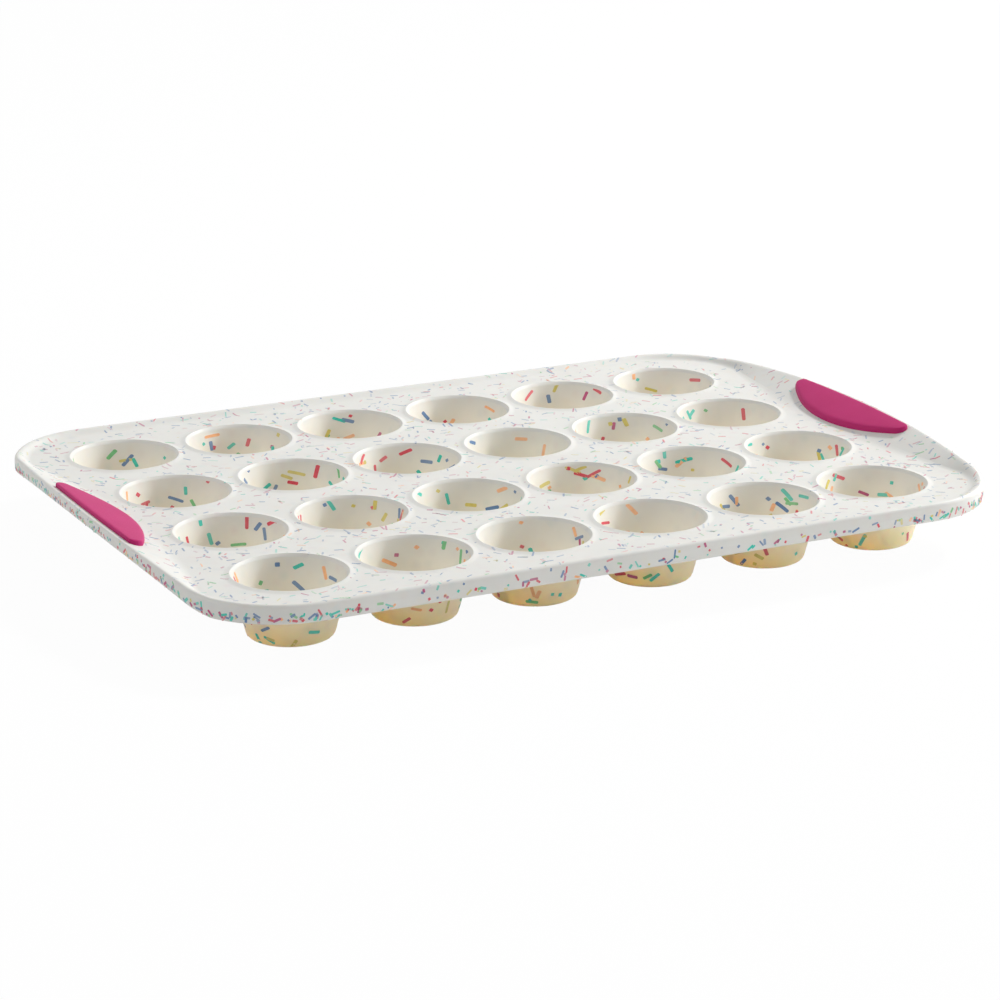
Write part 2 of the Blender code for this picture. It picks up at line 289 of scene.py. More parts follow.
# %% [markdown]
# ## The outline of the pan
# Long sides are straight, corners are arcs, and the ends bow outwards on a large radius. The
# stations along it are worked out for one quarter by the length of the path, and mirrored. Each
# has an outer point, an inner point on the crease where the handle starts to rise, and a root on
# the edge of the cells.

# %% Stations
END_CENTRE_X = HALF_LENGTH - END_RADIUS
CORNER_Y = HALF_WIDTH - CORNER_RADIUS
END_ANGLE = math.asin(CORNER_Y / (END_RADIUS - CORNER_RADIUS))
CORNER_X = END_CENTRE_X + (END_RADIUS - CORNER_RADIUS) * math.cos(END_ANGLE)
CREASE_X = HALF_LENGTH - HANDLE_WIDTH
MEET_RADIUS = CORNER_RADIUS - RIM_WIDTH
END_PATH = END_RADIUS * END_ANGLE
CORNER_PATH = CORNER_RADIUS * (math.pi / 2 - END_ANGLE)


def outline(path):
    """Outer and inner points of a quarter by length along it, from the middle of the end.

    End: a circle of the end's radius, and a crease whose place falls off from the corner with the
    square of the share of the way. Corner: two arcs about one centre. Side: two straight lines.
    """
    end = np.clip(path / END_PATH, 0.0, 1.0)
    turn = END_ANGLE + np.clip((path - END_PATH) / CORNER_RADIUS, 0.0, math.pi / 2 - END_ANGLE)
    left = np.maximum(path - END_PATH - CORNER_PATH, 0.0)
    meet = np.array([CORNER_X + MEET_RADIUS * math.cos(END_ANGLE),
                     CORNER_Y + MEET_RADIUS * math.sin(END_ANGLE)])
    on_end = path < END_PATH
    bow = END_ANGLE * end
    outer = np.stack([
        np.where(on_end, END_CENTRE_X + END_RADIUS * np.cos(bow),
                 CORNER_X + CORNER_RADIUS * np.cos(turn) - left),
        np.where(on_end, END_RADIUS * np.sin(bow), CORNER_Y + CORNER_RADIUS * np.sin(turn)),
    ], axis=-1)
    inner = np.stack([
        np.where(on_end, CREASE_X + (meet[0] - CREASE_X) * end ** 2,
                 CORNER_X + MEET_RADIUS * np.cos(turn) - left),
        np.where(on_end, meet[1] * end, CORNER_Y + MEET_RADIUS * np.sin(turn)),
    ], axis=-1)
    return outer, inner


HALF_ROWS = len(ROW_Y) // 2
HALF_COLUMNS = len(COLUMN_X) // 2
end_count = SIDE_STEPS * HALF_ROWS
side_count = SIDE_STEPS * HALF_COLUMNS
middle = END_PATH + CORNER_PATH / 2
whole = END_PATH + CORNER_PATH + CORNER_X
path = np.concatenate([np.linspace(0.0, middle, end_count + 1),
                       np.linspace(middle, whole, side_count + 1)[1:]])
quarter_outer, quarter_inner = outline(path)
end_y = np.interp(np.arange(end_count + 1) / SIDE_STEPS, np.arange(HALF_ROWS + 1),
                  edges_y[HALF_ROWS:])
side_x = np.interp(np.arange(side_count + 1) / SIDE_STEPS, np.arange(HALF_COLUMNS + 1),
                   edges_x[HALF_COLUMNS:])[::-1]
quarter_root = np.concatenate([np.stack([np.full_like(end_y, OUTER_X), end_y], axis=-1),
                               np.stack([side_x, np.full_like(side_x, OUTER_Y)], axis=-1)[1:]])


def all_round(quarter):
    """The other three quarters by mirroring, as one closed path from the middle of the end."""
    back = quarter[::-1] * (-1, 1)
    return np.concatenate([quarter[:-1], back[:-1], (-quarter)[:-1], (-back)[:-1]])


def lift(y):
    """Share of the handle's rise: one less the square of the way from the middle to its margin.

    It is raised to a power under 1, which makes the middle flatter and the ends steeper.
    """
    return (1 - np.clip(np.abs(y) / (HALF_WIDTH - HANDLE_MARGIN), 0, 1) ** 2) ** HANDLE_EASE


OUTER, INNER, ROOT = (all_round(quarter) for quarter in (quarter_outer, quarter_inner, quarter_root))
STATIONS = len(OUTER)
WIDTH = np.linalg.norm(OUTER - INNER, axis=-1)
LIFT = lift(OUTER[:, 1])
print("stations", STATIONS)

# %% [markdown]
# ## The rim and the handles
# Across the rim there is one profile: the handle's slope, the bead along the edge, the outer band
# with the line where the two halves of the mould met, and the way back underneath. It is carried
# round the outline, and the handle's rise is added to it: nothing on the long sides, most at the
# middle of an end.

# %% Rim
CROWN = BEAD_RISE * (1 - LIFT)
BAND = RIM_HEIGHT - (RIM_HEIGHT - HANDLE_RIM_HEIGHT) * LIFT
PARTING = CROWN - BAND / 2
BOTTOM = CROWN - BAND
THICKNESS = DECK_TOP - DECK_UNDER
CLIMB_STEPS = 9


def slope(share):
    """Height of the handle by share of the way out: a parabola that runs on as a straight line."""
    share = np.clip(share, 0.0, 1.0)
    soft = np.where(share < HANDLE_SOFT_SHARE, share ** 2 / (2 * HANDLE_SOFT_SHARE),
                    share - HANDLE_SOFT_SHARE / 2)
    return soft / (1 - HANDLE_SOFT_SHARE / 2)


def on_rim(inset, height):
    """Points at a distance in from the outline and a height over the handle's surface."""
    share = inset / WIDTH[:, None]
    flat = OUTER[:, None] + (INNER - OUTER)[:, None] * share[..., None]
    rise = HANDLE_RISE * LIFT[:, None] * slope(1 - share)
    return np.concatenate([flat, (DECK_TOP + rise + height)[..., None]], axis=-1)


def across(*pairs):
    """Corner points of the rim's profile at every station, from pairs of inset and height."""
    columns = [np.stack(np.broadcast_arrays(inset, height, WIDTH), axis=-1)[:, :2]
               for inset, height in pairs]
    return np.stack(columns, axis=1)


FOOT = BEAD_FOOT * WIDTH / RIM_WIDTH
edge_corners = across((FOOT + BEAD_TAIL, 0), (FOOT, 0), (BEAD_CROWN, CROWN), (RIM_DRAFT, CROWN),
                      (0, PARTING), (RIM_DRAFT, BOTTOM), (BAND_WIDTH, BOTTOM),
                      (BAND_WIDTH + RIM_DRAFT, -THICKNESS), (BAND_WIDTH + BAND_TAIL, -THICKNESS))
edge_radii = [BEAD_FOOT_ROUND, BEAD_CROWN_ROUND, BAND_TOP_ROUND, PARTING_ROUND, BAND_LOWER_ROUND,
              BAND_UNDER_ROUND, BAND_UNDER_ROUND]
edge = rounded(edge_corners, edge_radii)
climb = np.linspace(1.0, 0.0, CLIMB_STEPS + 1)[:-1]
top_inset = edge[:, :1, 0] + (WIDTH[:, None] - edge[:, :1, 0]) * climb
under_inset = edge[:, -1:, 0] + (WIDTH[:, None] - edge[:, -1:, 0]) * climb[::-1]
inset = np.concatenate([top_inset, edge[..., 0], under_inset], axis=1)
height = np.concatenate([np.zeros_like(top_inset), edge[..., 1],
                         np.full_like(under_inset, -THICKNESS)], axis=1)
rim = on_rim(inset, height)
root_top = np.concatenate([ROOT, np.full((STATIONS, 1), DECK_TOP)], axis=-1)
root_under = np.concatenate([ROOT, np.full((STATIONS, 1), DECK_UNDER)], axis=-1)
near_top = (root_top + rim[:, 0]) / 2
near_under = (root_under + rim[:, -1]) / 2
rim = np.concatenate([root_top[:, None], near_top[:, None], rim,
                      near_under[:, None], root_under[:, None]], axis=1)
print("rim grid", rim.shape, "top", round(float(rim[..., 2].max()) / MM, 2), "mm")

# %% [markdown]
# ## One moulding
# The cells above, the cells below and the rim are merged along their shared edges into one closed
# skin, because light enters silicone in one place and leaves it in another, and Blender follows it
# only inside a closed mesh. An attribute sets how much painted glow each point gets: light comes
# through the cups' thin walls and bounces inside them, and this light is painted into the white
# silicone as beige inside the cups and amber outside. The same attribute makes the cups smoother
# inside and lets their walls scatter more light.

# %% Moulding
# Painted glow: how far it goes inside the cups, and the depths below the lip and under the deck over
# which it grows
INSIDE_PAINTED_GLOW = 0.35
WARM_BELOW_LIP = 3.0 * MM
WARM_BELOW_DECK = 4.0 * MM
rim_across = rim.transpose(1, 0, 2)
grids = [*top_cells, *under_cells, rim_across]
counts = np.cumsum([0] + [grid.shape[0] * grid.shape[1] for grid in grids])
faces = [grid_faces(*grid.shape[:2], start) for grid, start in zip(grids, counts)]
points = np.concatenate([grid.reshape(-1, 3) for grid in grids])

depth_inside = np.clip((EASE_START - top_cells[..., 2]) / WARM_BELOW_LIP, 0, 1)
depth_outside = np.clip((DECK_UNDER - under_cells[..., 2]) / WARM_BELOW_DECK, 0, 1)
# Painted glow grows with depth inside and outside the cups; the deck and the rim get none
painted_glow_and_polish = np.concatenate([INSIDE_PAINTED_GLOW * depth_inside.ravel(), depth_outside.ravel(),
                         np.zeros(rim_across.shape[0] * rim_across.shape[1])])
pan = mesh_piece("pan_moulding", points, np.concatenate(faces), {"painted_glow_and_polish": painted_glow_and_polish})
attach(pan, "root")
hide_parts("deck", "rim_upper", "rim_lower", *CUP_NAMES)

# %% [markdown]
# ## Sprinkles
# The coloured rods are silicone too, and lie flush in the surface. Each one here is a thin tile
# that follows the surface it lies in, so it bends with a wall. The tile is a small grid with
# drawn-in ends, whose steps along and across are turned by its own angle. On the skin of a cup or
# the rim, a place is counted in lengths along the grid's columns and rings, so that a rod keeps
# its size anywhere.

# %% Tiles
# Where a tile's points lie along it, as shares of its length, and how wide it is there
PLACES = np.array([-0.5, -0.43, -0.15, 0.15, 0.43, 0.5])
FULLNESS = np.array([0.55, 1.0, 1.0, 1.0, 1.0, 0.55])
ALONG, ACROSS = len(PLACES), 2
TILE_PROUD = 0.04 * MM
TILE_DEEP = 0.3 * MM
SEED = 24
rng = np.random.default_rng(SEED)
# Shortest and longest rod, narrowest and widest, and the share that stands on end
CUP_RODS = (3.2 * MM, 6.2 * MM, 1.1 * MM, 1.5 * MM, 0.28)
DECK_RODS = (1.6 * MM, 4.2 * MM, 0.5 * MM, 0.85 * MM, 0.25)
BAND_RODS = (1.2 * MM, 3.7 * MM, 0.65 * MM, 1.1 * MM, 0.40)
# Shortest and longest rod on end, as shares of its width
ON_END_LENGTHS = (0.9, 1.3)


def rod_steps(rods, count):
    """Steps in the surface's two directions for each rod: a box of its size turned by its angle."""
    shortest, longest, narrowest, widest, on_end = rods
    width = rng.uniform(narrowest, widest, count)
    length = np.where(rng.random(count) < on_end, width * rng.uniform(*ON_END_LENGTHS, count),
                      rng.uniform(shortest, longest, count))
    angle = rng.uniform(0.0, math.pi, count)[:, None, None]
    a = (PLACES * length[:, None])[:, :, None]
    b = FULLNESS[:, None] * (np.linspace(-0.5, 0.5, ACROSS) * width[:, None])[:, None, :]
    return a * np.cos(angle) - b * np.sin(angle), a * np.sin(angle) + b * np.cos(angle)


def on_grid(grid, row, column):
    """Point of a grid at a fractional row and column: its four corners weighed; columns close.

    The row is kept just short of the last one, so that there is always a row below it.
    """
    row = np.clip(row, 0, grid.shape[0] - 1.001)
    r0, c0 = np.floor(row).astype(int), np.floor(column).astype(int)
    r, c = (row - r0)[..., None], (column - c0)[..., None]
    c0, c1 = c0 % grid.shape[1], (c0 + 1) % grid.shape[1]
    upper = grid[r0, c0] * (1 - c) + grid[r0, c1] * c
    lower = grid[r0 + 1, c0] * (1 - c) + grid[r0 + 1, c1] * c
    return upper * (1 - r) + lower * r


def rods_on_skin(grid, rods, spacing, weight=1.0):
    """Rods on a closed grid, about one to each square of the spacing where the weight is 1.

    A rod's middle lies in a random quad, drawn by the quad's area. Its first steps go round the
    ring, divided by the quad's width, and its second steps down the column, from length to row.
    """
    steps = np.linalg.norm(np.diff(grid, axis=0), axis=-1)
    ring = np.linalg.norm(np.roll(grid, -1, axis=1) - grid, axis=-1)[:-1]
    down = np.concatenate([np.zeros((1, grid.shape[1])), np.cumsum(steps, axis=0)])
    share = steps * ring * weight
    count = int(share.sum() / spacing ** 2)
    quad = rng.choice(share.size, count, p=(share / share.sum()).ravel())
    row, column = np.divmod(quad, grid.shape[1])
    inside = rng.random(count)
    middle = down[row, column] * (1 - inside) + down[row + 1, column] * inside
    # All columns in one list of lengths, each set off by more than the longest column
    offset = down.max() * 4
    lengths = (down + offset * np.arange(grid.shape[1])).T.ravel()
    rows = np.tile(np.arange(len(grid), dtype=float), grid.shape[1])
    u, v = rod_steps(rods, count)
    place = np.clip(middle[:, None, None] + v, 0.0, down[-1, column][:, None, None])
    rows_at = np.interp(place + offset * column[:, None, None], lengths, rows)
    columns_at = (column + rng.random(count))[:, None, None] + u / ring[row, column][:, None, None]
    return on_grid(grid, rows_at, columns_at)


def rods_on_level(low, high, rods, spacing, allowed, height):
    """Rods on a surface given by its height, where allowed says which middles may hold one."""
    count = int((high[0] - low[0]) * (high[1] - low[1]) / spacing ** 2)
    x, y = rng.uniform(low[0], high[0], count), rng.uniform(low[1], high[1], count)
    keep = allowed(x, y)
    x, y = x[keep], y[keep]
    u, v = rod_steps(rods, len(x))
    u, v = x[:, None, None] + u, y[:, None, None] + v
    return np.stack([u, v, height(u, v)], axis=-1)


# %% [markdown]
# The rods are laid on each surface in turn: the wall and floor of every cup, inside and out, the
# deck between the cups, and the rim. In the mould the silicone flows outwards and meets at the
# mould's parting line, so the rods gather along that line, most of all at the corners. Rods deep
# in the silicone look paler, which is kept as a depth from 0 to 1 for each rod.

# %% Lay the rods
# Shares of teal, green, slate, orange, red, magenta and yellow
CUP_SHARES = (0.22, 0.08, 0.17, 0.16, 0.18, 0.04, 0.15)
DECK_SHARES = (0.13, 0.06, 0.40, 0.04, 0.10, 0.22, 0.05)
BAND_SHARES = (0.27, 0.08, 0.19, 0.06, 0.20, 0.12, 0.08)
laid = []


def lay(tiles, side, shares, depth_low, depth_high):
    """Keep the tiles with the side that shows, a colour for each and a depth for each."""
    colour = rng.choice(len(shares), len(tiles), p=shares)
    laid.append((tiles, side, colour, rng.uniform(depth_low, depth_high, len(tiles))))


def from_cup(x, y):
    """Distance to the middle of the nearest cup."""
    offset = np.stack([x, y], axis=-1)[..., None, :] - CUP_CENTRES
    return np.linalg.norm(offset, axis=-1).min(-1)


def deck_height(x, y):
    """Height of the deck, read off a cup's profile from the crest of its lip outwards."""
    return np.interp(from_cup(x, y), OVER_LIP[:, 0], OVER_LIP[:, 1])


CUP_SPACING = 6.8 * MM
DECK_SPACING = 5.1 * MM
BAND_SPACING = 3.3 * MM
FLOOR_REACH = 12.0 * MM
DECK_ROD_START = LIP_FOOT - 1.2 * MM
UNDER_ROD_START = LIP_FOOT + 1.5 * MM
OVER_LIP = INSIDE[-12:]

# A cup's grid has its middle first and then the arc of its foot, from which the wall runs up
ARC = ROUND_STEPS + 1
wall_inside = slice(2, ARC + 2)
wall_outside = slice(ARC - 1, ARC + 3)

# Shares of the colours, and the shallowest and deepest rod
cup_look = CUP_SHARES, 0.0, 0.18
deck_look = DECK_SHARES, 0.25, 0.75
band_look = BAND_SHARES, 0.0, 0.35
for number, centre in enumerate(CUP_CENTRES):
    lay(rods_on_skin(top_cells[number][wall_inside], CUP_RODS, CUP_SPACING), -1, *cup_look)
    lay(rods_on_skin(under_cells[number][wall_outside], CUP_RODS, CUP_SPACING), 1, *cup_look)
    for level, side in ((FLOOR_TOP, 1), (SKIN, -1)):
        lay(rods_on_level(centre - FLOOR_REACH, centre + FLOOR_REACH, CUP_RODS, CUP_SPACING,
                          lambda x, y: from_cup(x, y) < FLOOR_REACH,
                          lambda x, y: np.full_like(x, level)), side, *cup_look)
cells_corner = np.array([OUTER_X, OUTER_Y])
lay(rods_on_level(-cells_corner, cells_corner, DECK_RODS, DECK_SPACING,
                  lambda x, y: from_cup(x, y) > DECK_ROD_START, deck_height), 1, *deck_look)
lay(rods_on_level(-cells_corner, cells_corner, DECK_RODS, DECK_SPACING,
                  lambda x, y: from_cup(x, y) > UNDER_ROD_START,
                  lambda x, y: np.full_like(x, DECK_UNDER)), -1, *deck_look)

# The rim's grid has two rows at its root, the climb and one more point before its first arc. The
# band runs from the middle of its upper round, the third arc, to that of its lower round, the fifth
FIRST_ARC = 2 + CLIMB_STEPS + 1
BAND_FIRST = FIRST_ARC + 2 * ARC + ARC // 2
BAND_LAST = BAND_FIRST + 2 * ARC

# The rods gather in a strip along the parting line: it is narrower and more crowded where the
# outline turns a corner, beyond a circle round the pan's middle, and thinner along the ends
CORNER_ZONE = 10.0 * MM
GATHER_WIDTH = 2.2 * MM
GATHER_NARROWING = 1.2 * MM
CORNER_CROWD = 3.5
END_THINNING = 0.55
lay(rods_on_skin(rim_across[:BAND_FIRST + 1], DECK_RODS, DECK_SPACING), -1, *deck_look)
band = rim_across[BAND_FIRST:BAND_LAST + 1]
zone_radius = math.hypot(CORNER_X + CORNER_ZONE, CORNER_Y + CORNER_ZONE)
turning = np.linalg.norm(OUTER, axis=-1) > zone_radius
at_end = np.abs(OUTER[:, 1]) < CORNER_Y
from_line = band[:-1, :, 2] - band[len(band) // 2, :, 2]
gathered = np.exp(-(from_line / (GATHER_WIDTH - GATHER_NARROWING * turning)) ** 2)
gathered *= 1.0 + CORNER_CROWD * turning - END_THINNING * at_end
lay(rods_on_skin(band, BAND_RODS, BAND_SPACING, gathered), -1, *band_look)
lay(rods_on_skin(rim_across[BAND_LAST + 1:], DECK_RODS, DECK_SPACING), -1, *deck_look)
print("surfaces with rods", len(laid), "rods", sum(len(part[0]) for part in laid))

# %% [markdown]
# Each tile becomes a closed box, a little proud of the surface and reaching down into the
# silicone. Its corners are held within the bounds of the solid model.

# %% Closed tiles
TILE_OVERHANG = 0.8 * SKIN
TILE_LOWEST = 0.1 * SKIN


def closed_tiles(tiles, side):
    """Give each tile a top and a bottom along its own normal.

    The normal is the cross product of the differences along and across the tile.
    """
    normal = unit(np.cross(np.gradient(tiles, axis=1), np.gradient(tiles, axis=2))) * side
    return np.stack([tiles + normal * TILE_PROUD, tiles - normal * TILE_DEEP], axis=1)


def tile_faces(count):
    """Quads of the closed box of one tile, repeated for every tile."""
    number = np.arange(2 * ALONG * ACROSS).reshape(2, ALONG, ACROSS)
    top, bottom = number
    quads = []
    for layer in number:
        quads.append(np.stack([layer[:-1, 0], layer[1:, 0], layer[1:, 1], layer[:-1, 1]], axis=-1))
    for side in (0, -1):
        upper, lower = top[:, side], bottom[:, side]
        quads.append(np.stack([upper[:-1], upper[1:], lower[1:], lower[:-1]], axis=-1))
    ends = [[top[i, 0], top[i, 1], bottom[i, 1], bottom[i, 0]] for i in (0, -1)]
    quads = np.concatenate(quads + [np.array(ends)])
    return (quads + number.size * np.arange(count)[:, None, None]).reshape(-1, 4)


solid_tiles = np.concatenate([closed_tiles(tiles, side) for tiles, side, _, _ in laid])
choice = np.concatenate([colour for _, _, colour, _ in laid])
depths = np.concatenate([depth for _, _, _, depth in laid])
limit = np.array([HALF_LENGTH, HALF_WIDTH]) + TILE_OVERHANG
solid_tiles[..., :2] = np.clip(solid_tiles[..., :2], -limit, limit)
solid_tiles[..., 2] = np.maximum(solid_tiles[..., 2], TILE_LOWEST)
print("tiles", len(solid_tiles), "lowest", round(float(solid_tiles[..., 2].min()) / MM, 3), "mm")

# %% [markdown]
# Each colour of rod is one piece with its own plain silicone, in the colours of cake sprinkles.

# %% Colours of the rods
ROD_COLOURS = {
    "teal": (0.03, 0.50, 0.40),
    "green": (0.16, 0.48, 0.20),
    "slate": (0.09, 0.19, 0.37),
    "orange": (0.88, 0.42, 0.19),
    "red": (0.62, 0.05, 0.08),
    "magenta": (0.44, 0.05, 0.17),
    "yellow": (0.62, 0.52, 0.11),
}
rods = {}
for number, colour in enumerate(ROD_COLOURS):
    chosen = choice == number
    tiles = solid_tiles[chosen]
    depth = np.repeat(depths[chosen], 2 * ALONG * ACROSS)
    piece = mesh_piece(f"sprinkles_{colour}", tiles, tile_faces(len(tiles)), {"depth": depth}, 0)
    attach(piece, "root")
    rods[colour] = piece

# %% [markdown]
# ## Grips
# A grip is a pad of magenta silicone bonded to the handle. Across, its section is half a
# superellipse, a box with soft shoulders. Along the handle the section follows the arc of the end,
# narrows with the square of the way, and closes in a half round at each tip.

# %% Grips
GRIP_HALF_LENGTH = 42.4 * MM
GRIP_SETBACK = 2.9 * MM
GRIP_INSET = 4.1 * MM
GRIP_TIP_WIDTH = 4.6 * MM
GRIP_HEIGHT = 1.7 * MM
GRIP_INNER_HEIGHT = 2.2 * MM
GRIP_CROWN = 0.2 * MM
GRIP_SINK = 0.1 * MM
GRIP_FULL = HANDLE_WIDTH - GRIP_SETBACK - GRIP_INSET
GRIP_SHOULDER_POWER = 12
GRIP_TIP_POWER = 8
TIP_RADIUS = GRIP_TIP_WIDTH / 2
STRAIGHT = GRIP_HALF_LENGTH - TIP_RADIUS
STRAIGHT_STEPS = 20
TIP_STEPS = 8
SECTION_STEPS = 32


def grip_grid(side):
    """Points of a pad by the place along it and the angle across it.

    Across, the inset is the middle plus the half width times the sine of the angle, and the height
    is the pad's height times the cube root of one less the twelfth power of that sine. The pad
    grows evenly in height towards its inner side. The tips draw in by the tip's radius times one
    less a cosine, and fall away by the same kind of root.
    """
    tip = np.linspace(0.0, math.pi / 2, TIP_STEPS + 1)[1:]
    straight = np.linspace(0.0, STRAIGHT, STRAIGHT_STEPS + 1)
    along = np.concatenate([straight, STRAIGHT + TIP_RADIUS * np.sin(tip)])
    drawn_in = np.concatenate([np.zeros_like(straight), TIP_RADIUS * (1.0 - np.cos(tip))])
    fall = np.concatenate([np.ones_like(straight), (1.0 - np.sin(tip) ** GRIP_TIP_POWER) ** (1 / 3)])
    along = np.concatenate([-along[:0:-1], along])
    drawn_in, fall = (np.concatenate([v[:0:-1], v]) for v in (drawn_in, fall))
    bow = np.arcsin(along / END_RADIUS)
    outer, inner = outline(np.abs(bow) * END_RADIUS)
    outer[:, 1], inner[:, 1] = np.copysign(outer[:, 1], along), np.copysign(inner[:, 1], along)
    width = np.linalg.norm(outer - inner, axis=-1)[:, None]
    pad = GRIP_FULL - (GRIP_FULL - GRIP_TIP_WIDTH) * (along / GRIP_HALF_LENGTH) ** 2
    across = np.sin(np.linspace(-math.pi / 2, math.pi / 2, SECTION_STEPS + 1))
    inset = (GRIP_SETBACK + pad / 2)[:, None] + (pad / 2 - drawn_in)[:, None] * across
    pad_height = GRIP_HEIGHT + (GRIP_INNER_HEIGHT - GRIP_HEIGHT) * (1.0 + across) / 2
    shoulders = (1.0 - across ** GRIP_SHOULDER_POWER) ** (1 / 3)
    section = pad_height * shoulders + GRIP_CROWN * (1.0 - across ** 2)
    top = fall[:, None] * (section + GRIP_SINK) - GRIP_SINK
    inset = np.concatenate([inset, inset[:, ::-1]], axis=1)
    height = np.concatenate([top, np.full_like(top, -GRIP_SINK)], axis=1)
    rise = lift(outer[:, 1])[:, None]
    share = inset / width
    flat = outer[:, None] + (inner - outer)[:, None] * share[..., None]
    foot = BEAD_FOOT * width / RIM_WIDTH
    bead = BEAD_RISE * (1 - rise) * np.clip((foot - inset) / (foot - BEAD_CROWN), 0, 1)
    level = DECK_TOP + HANDLE_RISE * rise * slope(1 - share) + bead + height
    return np.concatenate([flat * (side, 1), level[..., None]], axis=-1)


grips = {}
for name, side in (("grip_left", -1), ("grip_right", 1)):
    pad = grip_grid(side)
    grips[name] = mesh_piece(f"{name}_pad", pad, grid_faces(*pad.shape[:2]))
    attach(grips[name], "root")
    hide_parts(name)

# %% [markdown]
# ## The wire in the rim
# A steel wire runs round inside the rim and keeps the soft pan flat. It is a tube: a circle
# carried along the same stations as the rim, at the height of the parting line. The first circle
# comes once more at the end, and merging the doubles closes the loop.

# %% Steel wire
WIRE_INSET = 3.0 * MM
WIRE_RADIUS = 1.0 * MM
WIRE_SIDES = 12
turn = np.arange(WIRE_SIDES) * 2 * math.pi / WIRE_SIDES
wire_inset = np.broadcast_to(WIRE_INSET - WIRE_RADIUS * np.cos(turn), (STATIONS, WIRE_SIDES))
wire_points = on_rim(wire_inset, PARTING[:, None] + WIRE_RADIUS * np.sin(turn))
wire_points = np.concatenate([wire_points, wire_points[:1]])
wire = mesh_piece("steel_frame", wire_points, grid_faces(STATIONS + 1, WIRE_SIDES))
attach(wire, "root")
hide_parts("rim_wire")

# %% [markdown]
# ## Finishes
# A finish is a small net of shader nodes. The helpers below add a node, set its values and link
# its inputs, so that each finish reads as a list of what it mixes.

# %% Helpers for finishes
GRAIN_DEPTH = 0.03 * MM


def new_finish(name):
    """A material with its node tree and its Principled shader."""
    finish = bpy.data.materials.new(name)
    finish.use_nodes = True
    return finish, finish.node_tree, finish.node_tree.nodes["Principled BSDF"]


def add(tree, kind, inputs=None, **settings):
    """Add a node: settings are its properties, and inputs are values or outputs of other nodes."""
    made = tree.nodes.new(kind)
    for setting, value in settings.items():
        setattr(made, setting, value)
    for socket, value in (inputs or {}).items():
        if isinstance(value, bpy.types.NodeSocket):
            tree.links.new(value, made.inputs[socket])
        else:
            made.inputs[socket].default_value = value
    return made


def ramp(tree, factor, stops):
    """A colour ramp from pairs of place and colour, where one number stands for a grey."""
    made = add(tree, "ShaderNodeValToRGB", {"Fac": factor})
    elements = made.color_ramp.elements
    while len(elements) < len(stops):
        elements.new(0.5)
    for element, (place, colour) in zip(elements, stops):
        parts = (colour,) * 3 if isinstance(colour, float) else colour
        element.position = place
        element.color = (*parts, 1.0)
    return made.outputs["Color"]


def mix(tree, factor, first, second, blend="MIX"):
    """Mix two colours; the inputs may be colours or outputs."""
    return add(tree, "ShaderNodeMix", {0: factor, 6: first, 7: second}, data_type="RGBA",
               blend_type=blend).outputs[2]


def noise(tree, place, scale, detail):
    """Cloudy values from 0 to 1, finer for a higher scale."""
    return add(tree, "ShaderNodeTexNoise",
               {"Vector": place, "Scale": scale, "Detail": detail}).outputs["Fac"]


def between(tree, factor, low, high):
    """A value that runs from low to high as the factor runs from 0 to 1."""
    return add(tree, "ShaderNodeMapRange",
               {"Value": factor, "To Min": low, "To Max": high}).outputs["Result"]


def grain_normal(tree, grain, strength):
    """The surface's direction with the mould's grain on it."""
    return add(tree, "ShaderNodeBump", {"Strength": strength, "Distance": GRAIN_DEPTH,
                                        "Height": grain}).outputs["Normal"]


def dress(piece, finish):
    """Give a piece its only finish."""
    piece.data.materials.clear()
    piece.data.materials.append(finish)


# %% [markdown]
# White silicone scatters light inside: red goes furthest, so thin walls glow warm. The cups'
# colour is painted warm as well, beige inside and amber outside, for light that comes through
# their walls and bounces inside them. Its surface is satin with the fine grain of the mould, and
# smoother inside the cups. Faint blurred spots are rods that lie too deep to be seen clearly.


# %% White silicone
def by_warmth(tree, painted_glow_and_polish, deck, inside, outside):
    """What the deck and the rim have, what the cups have inside and what they have outside."""
    return ramp(tree, painted_glow_and_polish, [(0.0, deck), (INSIDE_PAINTED_GLOW, inside), (1.0, outside)])


WHITE = (0.748, 0.741, 0.705)
# Painted glow: the cups' beige inside and amber outside stand in for light through their thin walls
INSIDE_CUP_PAINTED_GLOW = (0.99, 0.92, 0.765)
OUTSIDE_CUP_PAINTED_GLOW = (0.995, 0.80, 0.53)
silicone, tree, shader = new_finish("white_silicone")
place = add(tree, "ShaderNodeTexCoord").outputs["Object"]
painted_glow_and_polish = add(tree, "ShaderNodeAttribute", attribute_name="painted_glow_and_polish").outputs["Fac"]
body = by_warmth(tree, painted_glow_and_polish, WHITE, INSIDE_CUP_PAINTED_GLOW, OUTSIDE_CUP_PAINTED_GLOW)
cloud = noise(tree, place, 45.0, 3.0)
cloudy = ramp(tree, cloud, [(0.3, (0.955, 0.955, 0.95)), (0.7, (1.0, 1.0, 1.0))])
body = mix(tree, 1.0, body, cloudy, "MULTIPLY")
spots = add(tree, "ShaderNodeTexVoronoi", {"Vector": place, "Scale": 170.0})
spot = ramp(tree, spots.outputs["Distance"], [(0.05, 0.12), (0.45, 0.0)])
hue = add(tree, "ShaderNodeSeparateColor", {"Color": spots.outputs["Color"]})
tint = ramp(tree, hue.outputs["Red"], [(0.0, (0.35, 0.62, 0.56)), (0.3, (0.42, 0.48, 0.60)),
                                       (0.6, (0.72, 0.42, 0.46)), (1.0, (0.78, 0.66, 0.42))])
tree.links.new(mix(tree, spot, body, tint), shader.inputs["Base Color"])
grain = noise(tree, place, 1500.0, 2.0)
tree.links.new(grain_normal(tree, grain, 0.25), shader.inputs["Normal"])
sheen = between(tree, cloud, 0.40, 0.52)
polish = by_warmth(tree, painted_glow_and_polish, 1.0, 0.6, 1.0)
rough = add(tree, "ShaderNodeMath", {0: sheen, 1: polish}, operation="MULTIPLY")
tree.links.new(rough.outputs[0], shader.inputs["Roughness"])
